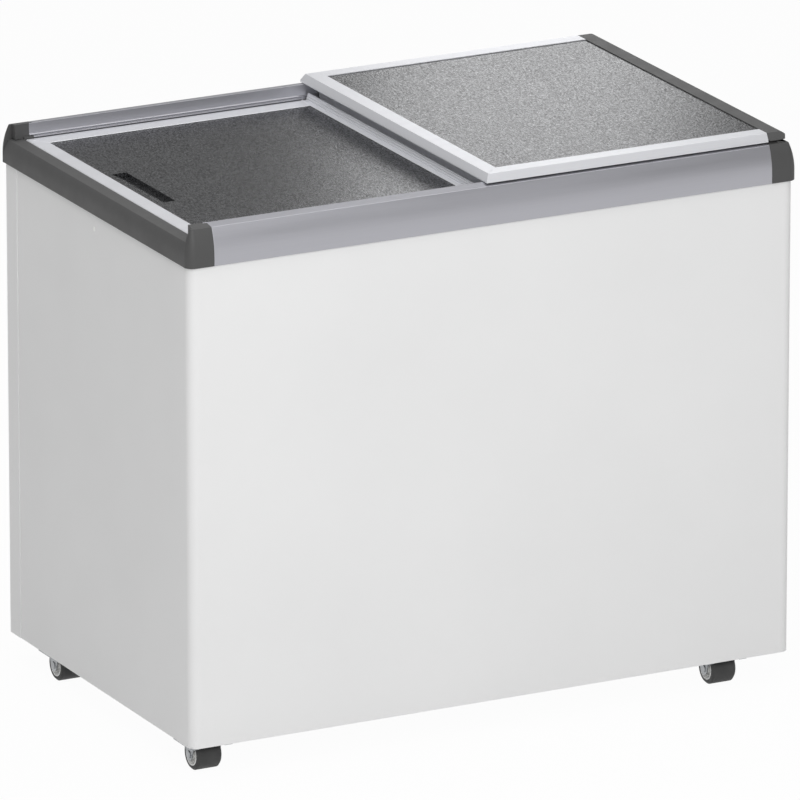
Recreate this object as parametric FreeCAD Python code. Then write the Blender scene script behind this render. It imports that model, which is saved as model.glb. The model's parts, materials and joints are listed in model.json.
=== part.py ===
import FreeCAD, Part
import math
import os

# Ice cream chest cabinet with two sliding lids, standing on four fixed rollers.
# Millimetres. X runs to the right, Y to the back, Z up. The origin is on the floor,
# under the middle of the cabinet. The storage well fills the casing, and its floor
# steps up at the right over the compartment that holds the refrigeration machine.

V = FreeCAD.Vector

# ------------------------------------------------------------ driving dimensions
# casing
body_width = 1038.0
body_depth = 651.0
body_height = 764.0            # casing underside to the underside of the rails
floor_gap = 44.0               # floor to casing underside
corner_radius = 16.0
sheet = 1.0
front_return = 52.0            # front panel wrapped round onto the sides
rear_return = 49.0
panel_lap = 12.0               # side panel tucked in behind each return
base_sheet = 1.5

# top rails
rail_overhang = 3.5
rail_height = 62.0
rail_depth = 28.0
rail_wall = 2.0
rail_seat = 12.0               # the rails cover the casing by this much
rail_top_fall = 3.0            # the top band rises inwards by this much
shoulder_start = 15.0          # height at which the outer face starts to curve back
shoulder_radius = 106.0
bead_width = 1.6
bead_height = 3.0
bead_pitch = 4.4
bead_drop = 17.4               # rail top to the upper bead
cap_width = 44.5
cap_radius = 14.0
cap_lap = 7.0                  # the rails' inner walls run this far into the caps
cap_foot_height = 7.0
cap_foot_drop = 20.5           # rail top to the cap's foot beside the lid
end_rail_height = 38.0         # at the lid
end_crease_in = 8.5            # where the outer curve meets the ledge
end_crease_height = 36.0
end_curve_start = 12.0

# insulation, liner and the frame on top of them
wall_insulation = 60.0
floor_insulation = 64.0
liner_sheet = 1.0
liner_radius = 18.0
liner_flange = 14.0
step_width = 267.0             # the raised floor at the right end of the well
step_height = 249.0
frame_thickness = 8.0
frame_lip = 10.0
frame_lip_wall = 2.0

# lids
lower_lid_drop = 24.0          # rail top down to the top of the lower lid
lid_thickness = 24.0
lower_lid_gap = 4.1            # rail face to the lower lid's edge
lower_end_gap = 1.0            # end rail to the lower lid's edge
lid_overlap = 33.0
lid_skin = 0.8
frame_wall = 1.5
lower_side_face = 26.0         # visible width of the lower lid's frame, left
lower_long_face = 32.0         # the same, front and rear
upper_start = 9.3              # cabinet middle to the upper lid's left edge
upper_gap = 2.0                # rail top to the upper lid's flange
upper_rise = 12.0              # flange underside to the lid's top
upper_setback = 14.0           # outer face of the rails to the upper lid's edge
upper_face = 25.0
upper_bevel = 6.0
upper_lip_height = 1.5         # the flange's outer edge turns down this much
upper_lip_width = 2.5
upper_web_gap = 1.5
handle_width = 34.0
handle_end_setback = 10.0
handle_corner = 12.0
handle_radius = 13.0
track_clearance = 4.5          # rail face to what hangs inside the rails
meeting_width = 41.0           # the lower lid's profile under the upper lid's edge
upstand_height = 12.0
rib_start = 9.5                # lid panel's edge to the stepped rib
rib_height = 10.5
rib_steps = 3
rib_step_width = 1.2
glide_width = 6.0
glide_clearance = 0.2
buffer_spread = 160.0
recess_length = 171.0
recess_y = -16.5
recess_width = 26.0
recess_depth = 8.0
recess_from_frame = 10.0

# casters
wheel_diameter = 50.0
wheel_width = 41.0
hub_diameter = 36.0
hub_dish = 8.0
axle_diameter = 8.0
axle_clearance = 0.05
caster_left = 36.5             # casing side to the middle of the wheel
caster_right = 110.0
caster_front = 34.5
caster_rear = 140.5
bracket_sheet = 2.0
bracket_gap = 1.5
bracket_arm = 24.0
bracket_flange = 11.0
wheel_gap = 6.0

# machine compartment
machine_wall = 60.0            # insulation between the well and the compartment
machine_roof = 60.0
compressor_diameter = 160.0
compressor_height = 168.0
compressor_seam = 72.0         # foot plate to the welded lip
compressor_y = 45.0
compressor_plate = 3.0
grommet_height = 14.0
grommet_diameter = 24.0
tube_diameter = 8.0
tube_sides = 8
wire_diameter = 2.0
condenser_rows = 8
condenser_pitch = 24.0
condenser_setback = 84.0       # casing front to the condenser's tubes
wire_pitch = 15.0
fan_radius = 86.0
fan_tip_gap = 5.0
fan_blades = 5
fan_setback = 128.0            # casing front to the fan plate
shroud_depth = 22.0
motor_diameter = 62.0
motor_length = 46.0
shaft_diameter = 6.0
drier_diameter = 22.0
drier_length = 90.0
drier_setback = 150.0          # compressor's axis to the drier's
drier_lift = 120.0             # machine tray to the drier's middle
suction_setback = 110.0        # compressor's axis to the suction tube's end

# openings, grille, controls, drain and evaporator
grille_length = 300.0
grille_height = 190.0
grille_y = 0.0
grille_sill = 34.0             # casing underside to the grille
grille_rim = 8.0
grille_lip = 2.5
grille_depth = 13.0
louvre_count = 8
louvre_thickness = 2.0
knob_diameter = 34.0
knob_height = 9.0
knob_recess = 11.0
knob_rim = 9.0                 # dished seat beyond the knob
knob_wall = 4.0
knob_inset = 46.0              # grille edges to the middle of the knob
knob_gap = 0.5                 # seat's floor to the knob
screw_radius = 3.0
screw_crown = 0.7              # rise of the countersunk heads
screw_crown_radius = 2.4
screw_inset = 2.0              # grille opening's edges to the screws
pan_head_radius = 4.2
pan_head_height = 2.2
grille_margin = 6.0            # flange beyond the opening
louvre_drop = 11.0
slot_length = 60.0
slot_width = 6.0
slot_rows = 7
slot_pitch = 16.0
gland_diameter = 22.0
gland_bore = 9.0
gland_depth = 22.0             # casing rear to the gland's inner mouth
plug_diameter = 6.0
side_plug_y = 4.0
side_plug_drop = 25.0
drain_diameter = 20.0
drain_wall = 2.0
drain_stub = 14.0
drain_shoulder = 1.0
drain_x = -120.0
drain_plug_diameter = 30.0
coil_turns = 8
coil_pitch = 44.0
coil_tube = 8.0                # flattened tube against the liner
coil_gap = 30.0                # half of the gap between the turns' ends at the back
coil_top_gap = 60.0            # top of the liner to the first turn

# ------------------------------------------------------------ levels and faces
half_w = body_width / 2
half_d = body_depth / 2
rail_x = half_w + rail_overhang
rail_y = half_d + rail_overhang
z_body = floor_gap
z_rail = z_body + body_height
z_top = z_rail + rail_height
z_seat = z_rail + rail_seat
z_frame = z_seat - frame_thickness
track_y = rail_y - rail_depth                    # inner faces of the two rails
end_x = rail_x - rail_depth                      # inner faces of the two end rails
base_top = z_body + base_sheet
well_x = half_w - sheet - wall_insulation - liner_sheet
well_y = half_d - sheet - wall_insulation - liner_sheet
well_z = base_top + floor_insulation + liner_sheet
step_x = well_x - step_width
step_z = well_z + step_height
machine_x = step_x + liner_sheet + machine_wall + sheet
machine_z = step_z - liner_sheet - machine_roof - sheet
machine_y = half_d - sheet
machine_mid = (machine_x + half_w - 2 * sheet) / 2
lower_top = z_top - lower_lid_drop
lower_bottom = lower_top - lid_thickness
lower_x = end_x - lower_end_gap
lower_y = track_y - lower_lid_gap
upper_bottom = z_top + upper_gap
upper_top = upper_bottom + upper_rise
upper_y = rail_y - upper_setback
upper_right = rail_x - handle_end_setback
upper_left = -upper_start
wheel_r = wheel_diameter / 2
axle_z = wheel_r


# ------------------------------------------------------------ helpers
def box(x0, x1, y0, y1, z0, z1):
    return Part.makeBox(x1 - x0, y1 - y0, z1 - z0, V(x0, y0, z0))


def outline(place, start, steps):
    """Closed face; a step is a point, or a (middle, end) pair for an arc."""
    edges = []
    here = start
    for step in list(steps) + [start]:
        if isinstance(step[0], tuple):
            middle, there = step
            edges.append(Part.Arc(place(*here), place(*middle), place(*there)).toShape())
        else:
            there = step
            if math.dist(here, there) > 1e-6:
                edges.append(Part.LineSegment(place(*here), place(*there)).toShape())
        here = there
    return Part.Face(Part.Wire(edges))


def along_x(x0, x1, start, *steps):
    return outline(lambda a, b: V(x0, a, b), start, steps).extrude(V(x1 - x0, 0, 0))


def along_y(y0, y1, start, *steps):
    return outline(lambda a, b: V(a, y0, b), start, steps).extrude(V(0, y1 - y0, 0))


def along_z(z0, z1, start, *steps):
    return outline(lambda a, b: V(a, b, z0), start, steps).extrude(V(0, 0, z1 - z0))


def turned(centre, axis, start, *steps, angle=360):
    """Revolve an (axial, radial) outline about an axis through centre."""
    axis = V(*axis)
    side = V(0, 0, 1) if abs(axis.z) < 0.5 else V(1, 0, 0)
    face = outline(lambda a, r: V(*centre) + axis * a + side * r, start, steps)
    return face.revolve(V(*centre), axis, angle)


def rounded(x, y, z0, z1, r):
    """Upright block with corners at plus and minus x and y, rounded by r."""
    k = r * (1 - math.sqrt(0.5))
    return along_z(
        z0, z1, (-x + r, -y), (x - r, -y), ((x - k, -y + k), (x, -y + r)),
        (x, y - r), ((x - k, y - k), (x - r, y)), (-x + r, y), ((-x + k, y - k), (-x, y - r)),
        (-x, -y + r), ((-x + k, -y + k), (-x + r, -y)))


def cylinder(centre, axis, radius, length):
    return Part.makeCylinder(radius, length, V(*centre), V(*axis))


def tube_section(centre, direction, radius):
    """Eight-sided section of a thin tube, square to its run."""
    side = V(0, 0, 1) if abs(direction.z) < 0.5 else V(1, 0, 0)
    across = direction.cross(side).normalize()
    side = across.cross(direction).normalize()
    corners = []
    for k in range(tube_sides):
        angle = 2 * math.pi * (k + 0.5) / tube_sides
        reach = radius / math.cos(math.pi / tube_sides)
        corners.append(centre + across * (reach * math.cos(angle)) + side * (reach * math.sin(angle)))
    return Part.Face(Part.makePolygon(corners + corners[:1]))


def tube_path(points, radius, bend):
    """Thin tube along straight runs joined by tangent arcs, tighter where a run is short."""
    points = [V(*p) for p in points]
    here = points[0]
    pieces = []
    for before, corner, after in zip(points, points[1:], points[2:]):
        into = (before - corner).normalize()
        out = (after - corner).normalize()
        half = math.acos(max(-1, min(1, into.dot(out)))) / 2
        room = min((before - corner).Length, (after - corner).Length) / 2
        cut = min(bend / math.tan(half), room)
        start = corner + into * cut
        end = corner + out * cut
        if (start - here).Length > 1e-6:
            pieces.append(tube_section(here, into, radius).extrude(start - here))
        centre = corner + (into + out).normalize() * (cut / math.cos(half))
        turn = math.degrees(math.pi - 2 * half)
        pieces.append(tube_section(start, into, radius).revolve(centre, into.cross(out), -turn))
        here = end
    last = points[-1]
    if (last - here).Length > 1e-6:
        pieces.append(tube_section(here, last - here, radius).extrude(last - here))
    return pieces[0].fuse(pieces[1:])


def mirror_x(shape):
    return shape.mirror(V(0, 0, 0), V(1, 0, 0))


def mirror_y(shape):
    return shape.mirror(V(0, 0, 0), V(0, 1, 0))


def fuse(first, *others):
    return first.fuse(list(others)).removeSplitter()


def save(name, *shapes):
    """Write a node; every shape is one or more closed solids."""
    solids = [solid for shape in shapes for solid in shape.Solids]
    for solid in solids:
        if not solid.isValid() or solid.Volume <= 0:
            print("check", name, solid.isValid(), round(solid.Volume, 1))
    shape = solids[0] if len(solids) == 1 else Part.makeCompound(solids)
    shape.exportStep("parts/" + name + ".step")
    return shape


# ------------------------------------------------------------ casters
def caster_places():
    left = -half_w + caster_left
    right = half_w - caster_right
    front = -half_d + caster_front
    rear = half_d - caster_rear
    return {"front_left": (left, front), "front_right": (right, front),
            "rear_left": (left, rear), "rear_right": (right, rear)}


def caster_well(x, y, z0):
    """The pocket over a wheel, which the bracket lines."""
    reach = wheel_width / 2 + bracket_gap + bracket_sheet
    length = wheel_r + wheel_gap
    top = wheel_diameter + wheel_gap + bracket_sheet
    return box(x - reach, x + reach, y - length, y + length, z0, top)


def caster_bracket(x, y):
    """Inverted channel with two tapered arms, two fixing flanges and the riveted axle."""
    inner = wheel_width / 2 + bracket_gap
    outer = inner + bracket_sheet
    length = wheel_r + wheel_gap
    top = wheel_diameter + wheel_gap
    web = box(x - outer, x + outer, y - length, y + length, top, top + bracket_sheet)
    arm_r = bracket_arm / 2 - 2
    parts = [web]
    for side in (-1, 1):
        x0 = x + side * inner
        x1 = x + side * outer
        wall = box(min(x0, x1), max(x0, x1), y - length, y + length, z_body - bracket_sheet, top)
        arm = along_x(min(x0, x1), max(x0, x1), (y - bracket_arm / 2 - 4, z_body), (y - arm_r, axle_z),
                      ((y, axle_z - arm_r), (y + arm_r, axle_z)), (y + bracket_arm / 2 + 4, z_body))
        edge = x + side * (outer + bracket_flange)
        flange = box(min(x0, edge), max(x0, edge), y - length, y + length, z_body - bracket_sheet, z_body)
        parts += [wall, arm, flange]
    shape = fuse(*parts)
    hole = cylinder((x - outer, y, axle_z), (1, 0, 0), axle_diameter / 2, 2 * outer)
    head = 1.5
    axle = turned((x, y, axle_z), (1, 0, 0), (-outer - head, 0), (-outer - head, axle_diameter / 2 + 2),
                  (-outer, axle_diameter / 2 + 2), (-outer, axle_diameter / 2),
                  (outer, axle_diameter / 2),
                  (outer, axle_diameter / 2 + 2), (outer + head, axle_diameter / 2 + 2),
                  (outer + head, 0))
    return shape.cut(hole), axle


def caster_tyre(x, y):
    w = wheel_width / 2
    soft = 3.0
    return turned((x, y, axle_z), (1, 0, 0), (-w, hub_diameter / 2), (-w, wheel_r - soft),
                  (-w + soft, wheel_r), (w - soft, wheel_r), (w, wheel_r - soft), (w, hub_diameter / 2))


def caster_hub(x, y):
    """White hub, dished on both sides, with a boss round the axle."""
    w = wheel_width / 2
    bore = axle_diameter / 2 + axle_clearance
    rim = hub_diameter / 2
    boss = axle_diameter / 2 + 4
    dish = w - hub_dish
    return turned((x, y, axle_z), (1, 0, 0), (-w, bore), (-w, boss), (-dish, boss), (-dish, rim - 5),
                  (-w, rim - 2),
                  (-w, rim), (w, rim), (w, rim - 2), (dish, rim - 5), (dish, boss), (w, boss), (w, bore))


# ------------------------------------------------------------ painted casing
def wrap_panel(face_y, turn_back):
    """Painted sheet bent round both corners, made as a front panel."""
    skin = rounded(half_w, half_d, z_body, z_seat, corner_radius)
    hollow = rounded(half_w - sheet, half_d - sheet, z_body, z_seat, corner_radius - sheet)
    keep = box(-half_w, half_w, -half_d, -half_d + turn_back, z_body, z_seat)
    shape = skin.cut(hollow).common(keep)
    return shape if face_y < 0 else mirror_y(shape)


def slot(x, z):
    """Round-ended ventilation slot through the rear panel."""
    r = slot_width / 2
    a = slot_length / 2 - r
    return along_y(half_d - 3 * sheet, half_d + sheet, (x - a, z - r), (x + a, z - r),
                   ((x + a + r, z), (x + a, z + r)), (x - a, z + r), ((x - a - r, z), (x - a, z - r)))


gland_x = half_w - 60.0
gland_z = z_body + 60.0


def rear_panel():
    panel = wrap_panel(1, rear_return)
    cuts = []
    for column in (-1, 1):
        for row in range(slot_rows):
            x = machine_mid - 10 + column * (slot_length / 2 + 6)
            cuts.append(slot(x, machine_z - 40 - row * slot_pitch))
    cuts.append(cylinder((gland_x, half_d + sheet, gland_z), (0, -1, 0), gland_diameter / 2 - 3,
                         4 * sheet))
    return panel.cut(cuts)


def side_panel():
    """Left side panel, one sheet thickness behind the wrapped returns."""
    plate = box(-half_w + sheet, -half_w + 2 * sheet, -half_d + front_return - panel_lap,
                half_d - rear_return + panel_lap, z_body, z_seat)
    return plate


def panel_strip():
    """Room for the left side panel behind the returns."""
    return box(-half_w, -half_w + 2 * sheet, -half_d + front_return - panel_lap,
               half_d - rear_return + panel_lap,
               z_body, z_seat)


def grille_window(grow):
    y0 = grille_y - grille_length / 2 - grow
    y1 = grille_y + grille_length / 2 + grow
    z0 = z_body + grille_sill - grow
    return box(half_w - 40, half_w + 5, y0, y1, z0, z0 + grille_height + 2 * grow)


def plug_hole(radius):
    return cylinder((-half_w, side_plug_y, z_rail - side_plug_drop), (1, 0, 0), radius, 12)


def side_plug():
    """Domed plug that closes the foaming hole."""
    r = plug_diameter / 2
    return turned((-half_w + sheet, side_plug_y, z_rail - side_plug_drop), (1, 0, 0), (-0.8, 0),
                  (-0.8, r - 0.5),
                  (0, r + 1), (0, r), (sheet, r), (sheet, r - 1), (5, r - 1.5), (5, 0))


# ------------------------------------------------------------ top rails
def shoulder(d0, height):
    """Inward offset of the curved outer face at a height above shoulder_start."""
    rise = height - shoulder_start
    return d0 + shoulder_radius - math.sqrt(shoulder_radius ** 2 - rise ** 2)


def rail_outline(depth, leg=True):
    """Outer outline of the rails and caps: (distance in from the outer face, height)."""
    ridge = rail_height - rail_top_fall
    d_ridge = shoulder(0, ridge)
    mid = (shoulder_start + ridge) / 2
    fall = rail_top_fall * (rail_depth - depth) / (rail_depth - d_ridge)
    points = [(0, shoulder_start), ((shoulder(0, mid), mid), (d_ridge, ridge)),
              (depth, rail_height - fall)]
    points.append((depth, rail_seat))
    if leg:
        points += [(rail_wall, rail_seat), (rail_wall, 3), (rail_overhang, 1.5), (rail_overhang, 0)]
    else:
        points += [(rail_overhang, rail_seat), (rail_overhang, 0)]
    return (0, 0), points


def shifted(start, points, place):
    """Move an outline of plain points and arcs into its plane."""
    moved = []
    for p in points:
        moved.append((place(*p[0]), place(*p[1])) if isinstance(p[0], tuple) else place(*p))
    return [place(*start)] + moved


def bead(z, depth):
    return [(depth, z + bead_height / 2), (depth + bead_width, z + bead_height / 2 - 0.8),
            (depth + bead_width, z - bead_height / 2 + 0.8), (depth, z - bead_height / 2)]


def rail_chamber(place):
    """The hollow inside a full-height rail."""
    ridge = rail_height - rail_top_fall - rail_wall
    room = [(rail_depth - rail_wall, rail_seat + rail_wall),
            (rail_depth - rail_wall, rail_height - 2 * rail_wall),
            (shoulder(rail_wall, ridge), ridge - 0.5), (rail_wall, shoulder_start + 6)]
    return shifted((rail_wall, rail_seat + rail_wall), room, place)


def front_rail():
    """Hollow aluminium extrusion with two track beads on its inner face."""
    start, points = rail_outline(rail_depth)
    corner = points.index((rail_depth, rail_seat))
    first = rail_height - bead_drop - bead_height / 2
    beads = bead(first, rail_depth) + bead(first - bead_pitch, rail_depth)
    points[corner:corner] = beads
    place = lambda d, z: (-rail_y + d, z_rail + z)
    x = rail_x - cap_width
    solid = along_x(-x, x, *shifted(start, points, place))
    chamber = along_x(-x, x, *rail_chamber(place))
    long = along_x(-x - cap_lap, x + cap_lap, *shifted(start, points, place))
    wall = long.common(rail_lap(-x - cap_lap, x + cap_lap, 2 * bead_width))
    foot = cap_foot()
    return fuse(solid.cut(chamber), wall.cut([foot, mirror_x(foot)]))


def rail_lap(x0, x1, inwards):
    """Space of the front rail's inner wall, and of what stands out from it."""
    return box(x0, x1, -track_y - rail_wall, -track_y + inwards, z_seat, z_top + 1)


def cap_foot():
    """Foot of the front left cap, beside the corner of the lower lid."""
    top = z_top - cap_foot_drop
    return box(-end_x, -rail_x + cap_width, -track_y, -track_y + 2 * bead_width, top - cap_foot_height,
               top)


def end_rail():
    """Left end profile: a lower dark moulding with a crease, and a flat ledge beside the lid."""
    top = end_rail_height
    rise = end_crease_height - end_curve_start
    bow = (end_crease_in * 0.28, end_curve_start + rise * 0.55)
    points = [(0, end_curve_start), (bow, (end_crease_in, end_crease_height)), (rail_depth, top),
              (rail_depth, rail_seat),
              (rail_wall, rail_seat), (rail_wall, 3), (rail_overhang, 1.5), (rail_overhang, 0)]
    place = lambda d, z: (-rail_x + d, z_rail + z)
    y = rail_y - cap_radius
    solid = along_y(-y, y, *shifted((0, 0), points, place))
    inset = rail_wall + 0.5
    room = [(inset + 1.5, rail_seat + rail_wall), (rail_depth - inset, rail_seat + rail_wall),
            (rail_depth - inset, top - inset), (end_crease_in + 1.5, end_crease_height - inset)]
    return solid.cut(along_y(-y, y, *shifted(room[0], room[1:], place)))


def tall_end_rail():
    """Right end profile, at the height of the other rails, which the upper lid closes onto."""
    start, points = rail_outline(rail_depth)
    place = lambda d, z: (rail_x - d, z_rail + z)
    y = rail_y - cap_radius
    solid = along_y(-y, y, *shifted(start, points, place))
    return solid.cut(along_y(-y, y, *rail_chamber(place)))


def corner_cap():
    """Front left cap: the rail's outline turned round the corner, with a crown that fills it inside."""
    start, points = rail_outline(cap_radius, leg=False)
    place = lambda d, z: (-rail_y + d, z_rail + z)
    arm = along_x(-rail_x + cap_radius, -rail_x + cap_width, *shifted(start, points, place))
    full_start, full = rail_outline(rail_depth, leg=False)
    block = along_x(-rail_x + cap_radius, -rail_x + cap_width, *shifted(full_start, full, place))
    over_end = box(-rail_x, -end_x, -rail_y + cap_radius, -track_y, z_rail, z_rail + end_rail_height)
    centre = V(-rail_x + cap_radius, -rail_y + cap_radius, 0)
    face = outline(lambda d, z: V(centre.x, -rail_y + d, z_rail + z), start, points)
    corner = face.revolve(centre, V(0, 0, 1), -90)
    shape = fuse(arm, block.cut(over_end), corner, cap_foot())
    casing = rounded(half_w, half_d, z_body, z_seat, corner_radius)
    return shape.cut([casing, rail_lap(-rail_x + cap_width - cap_lap, -rail_x + cap_width, 0)])


# ------------------------------------------------------------ well, insulation, frame
def well_shape(grow, top):
    """The well's space with its raised floor, grown outwards by a sheet or a tube."""
    x = well_x + grow
    y = well_y + grow
    profile = along_y(-y, y, (-x, well_z - grow), (step_x + grow, well_z - grow),
                      (step_x + grow, step_z - grow),
                      (x, step_z - grow), (x, top), (-x, top))
    return profile.common(rounded(x, y, well_z - grow, top, liner_radius + grow))


def inner_liner():
    shell = well_shape(liner_sheet, z_frame)
    edge = rounded(well_x + liner_flange, well_y + liner_flange, z_frame - liner_sheet, z_frame,
                   liner_radius + liner_flange)
    drain = cylinder((drain_x, 0, well_z - 2 * liner_sheet), (0, 0, 1), drain_diameter / 2 - drain_wall,
                     4 * liner_sheet)
    return fuse(shell, edge).cut([well_shape(0, z_frame + 1), drain])


def drain_tube():
    """Shouldered tube from the well's floor to a hose stub under the casing."""
    r = drain_diameter / 2
    bore = r - drain_wall
    top = well_z - liner_sheet
    thick = r + drain_shoulder
    return turned((drain_x, 0, 0), (0, 0, 1), (z_body - drain_stub, bore), (z_body - drain_stub, r),
                  (z_body, r), (z_body, thick), (top, thick), (top, bore))


def drain_plug():
    """Push-in stopper with a finger tab, seated in the well's floor."""
    bore = drain_diameter / 2 - drain_wall
    r = drain_plug_diameter / 2
    body = turned((drain_x, 0, well_z), (0, 0, 1), (-16, 0), (-16, bore - 1.5), (-1, bore - 0.5),
                  (0, bore - 0.5), (0, r - 1),
                  (3, r - 1), (4, r - 3), (4, 0))
    tab = along_y(-1.5, 1.5, (drain_x - 9, well_z + 3), (drain_x - 7, well_z + 13),
                  ((drain_x, well_z + 17), (drain_x + 7, well_z + 13)), (drain_x + 9, well_z + 3))
    eye = cylinder((drain_x, -2, well_z + 10), (0, 1, 0), 3.5, 4)
    return fuse(body, tab).cut(eye)


def coil_level(i):
    return z_frame - coil_top_gap - i * coil_pitch


def evaporator_coil():
    """One flattened tube wound back and forth round the liner, with its turns joined at the back."""
    t = coil_tube
    inner = liner_sheet
    outer = inner + t
    back = well_y + inner
    pieces = []
    side = 1
    for i in range(coil_turns):
        z = coil_level(i)
        ring = rounded(well_x + outer, well_y + outer, z - t / 2, z + t / 2, liner_radius + outer)
        hollow = rounded(well_x + inner, well_y + inner, z - t / 2, z + t / 2, liner_radius + inner)
        gap = box(-coil_gap, coil_gap, back - 1, back + t + 1, z - t / 2, z + t / 2)
        pieces.append(ring.cut([hollow, gap]))
        if i < coil_turns - 1:
            x0 = side * coil_gap
            x1 = side * (coil_gap + t)
            pieces.append(box(min(x0, x1), max(x0, x1), back, back + t, coil_level(i + 1) - t / 2,
                              z + t / 2))
        side = -side
    return fuse(*pieces)


def insulation_foam():
    """Rigid foam that fills the casing round the liner and over the machine."""
    block = rounded(half_w - sheet, half_d - sheet, base_top, z_frame, corner_radius - sheet)
    strip = panel_strip()
    machine = box(machine_x - sheet, half_w, -half_d, half_d, z_body, machine_z + sheet)
    edge = rounded(well_x + liner_flange, well_y + liner_flange, z_frame - liner_sheet, z_frame + 1,
                   liner_radius + liner_flange)
    drain = cylinder((drain_x, 0, z_body), (0, 0, 1), drain_diameter / 2 + drain_shoulder, well_z)
    cuts = [well_shape(liner_sheet, z_frame + 1), strip, mirror_x(strip), machine, edge, drain]
    cuts += [plug_hole(plug_diameter / 2)]
    cuts.append(evaporator_coil())
    for x, y in caster_places().values():
        if x < machine_x:
            cuts.append(caster_well(x, y, z_body))
    return block.cut(cuts)


def inner_frame():
    """Four mitred bars that cover the insulation and carry the rails and the lower lid's track."""
    ring = rounded(half_w - sheet, half_d - sheet, z_frame, z_seat, corner_radius - sheet)
    lip = rounded(well_x, well_y, z_frame - frame_lip, z_frame, liner_radius)
    hole = rounded(well_x - frame_lip_wall, well_y - frame_lip_wall, z_frame - frame_lip, z_seat,
                   liner_radius - frame_lip_wall)
    whole = fuse(ring, lip).cut([hole, panel_strip(), mirror_x(panel_strip())])
    inner_x = half_w - half_d
    front = along_z(z_frame - frame_lip, z_seat, (-half_w, -half_d), (half_w, -half_d), (inner_x, 0),
                    (-inner_x, 0))
    left = along_z(z_frame - frame_lip, z_seat, (-half_w, -half_d), (-inner_x, 0), (-half_w, half_d))
    bars = [whole.common(front), whole.common(mirror_y(front)), whole.common(left),
            whole.common(mirror_x(left))]
    return bars


# ------------------------------------------------------------ base and machine compartment
def base_plate():
    plate = rounded(half_w - sheet, half_d - sheet, z_body, base_top, corner_radius - sheet)
    plate = plate.common(box(-half_w, machine_x - sheet, -half_d, half_d, z_body, base_top))
    cuts = [panel_strip(), cylinder((drain_x, 0, z_body), (0, 0, 1), drain_diameter / 2 + drain_shoulder,
                                    base_sheet)]
    for x, y in caster_places().values():
        if x < machine_x:
            cuts.append(caster_well(x, y, z_body))
    return plate.cut(cuts)


def compressor_feet():
    reach = compressor_diameter / 2 - 5
    return [(machine_mid + sx * reach, compressor_y + sy * reach) for sx in (-1, 1) for sy in (-1, 1)]


def machine_tray():
    """Folded floor of the compartment, with wells for the casters and studs for the compressor."""
    plate = rounded(half_w - sheet, half_d - sheet, z_body, base_top, corner_radius - sheet)
    plate = plate.common(box(machine_x - sheet, half_w, -half_d, half_d, z_body, base_top))
    cuts = [mirror_x(panel_strip())]
    for x, y in caster_places().values():
        if x > machine_x:
            cuts.append(caster_well(x, y, z_body))
    for x in (machine_x + 52, half_w - 72):
        cuts.append(box(x, x + 18, -half_d, -half_d + 2 * sheet, z_body, base_top))
    lip = box(machine_x + 10, half_w - 40, -machine_y + 2, -machine_y + 2 + base_sheet, base_top,
              base_top + 16)
    studs = [cylinder((x, y, base_top), (0, 0, 1), 4, grommet_height + compressor_plate + 8)
             for x, y in compressor_feet()]
    return fuse(plate, lip, mirror_y(lip)).cut(cuts).fuse(studs).removeSplitter()


def partition():
    """Folded sheet between the insulation and the compartment."""
    right = half_w - 2 * sheet
    bent = along_y(-machine_y, machine_y, (machine_x - sheet, base_top), (machine_x, base_top),
                   (machine_x, machine_z), (right, machine_z), (right, machine_z + sheet),
                   (machine_x - sheet, machine_z + sheet))
    return bent.common(rounded(half_w - sheet, half_d - sheet, base_top, z_frame, corner_radius - sheet))


def compressor():
    """Hermetic compressor: two pressed shells joined by a welded lip, on a foot plate."""
    foot_z = base_top + grommet_height
    low = foot_z + compressor_plate
    r = compressor_diameter / 2
    h = compressor_height
    seam = compressor_seam
    shell = turned((machine_mid, compressor_y, low), (0, 0, 1), (0, 0), (0, r * 0.72), (10, r * 0.9),
                   (26, r - 2),
                   (seam, r - 2), (seam, r + 3), (seam + 5, r + 3), (seam + 5, r - 2), (h * 0.7, r - 3),
                   (h * 0.86, r * 0.82), (h * 0.96, r * 0.5), (h, r * 0.2), (h, 0))
    reach = compressor_diameter / 2 - 5 + 16
    plate = rounded(reach, reach, foot_z, low, 14)
    plate.translate(V(machine_mid, compressor_y, 0))
    holes = [cylinder((x, y, foot_z), (0, 0, 1), 5, compressor_plate) for x, y in compressor_feet()]
    return fuse(shell, plate).cut(holes)


def grommets():
    """Rubber mounts under the compressor's feet."""
    r = grommet_diameter / 2
    return [turned((x, y, base_top), (0, 0, 1), (0, 4), (0, r), (grommet_height, r - 3),
                   (grommet_height, 4))
            for x, y in compressor_feet()]


def terminal_box():
    """Cover over the start relay, on the compressor's front."""
    z = base_top + grommet_height + compressor_plate + 12
    y = compressor_y - compressor_diameter / 2
    case = box(machine_mid - 30, machine_mid + 30, y - 26, y + 20, z, z + 54)
    upright = [e for e in case.Edges if e.BoundBox.ZLength > 50 and e.BoundBox.YMax < y]
    return case.makeFillet(6, upright).cut(compressor())


def condenser_x():
    return machine_x + 32, half_w - 34


def wire(x, y, z, height):
    """Thin upright wire, six-sided, with a flat towards the tubes."""
    r = wire_diameter / 2
    a = r / math.sqrt(3)
    return along_z(z, z + height, (x - a, y - r), (x + a, y - r), (x + 2 * a, y), (x + a, y + r),
                   (x - a, y + r),
                   (x - 2 * a, y))


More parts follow.
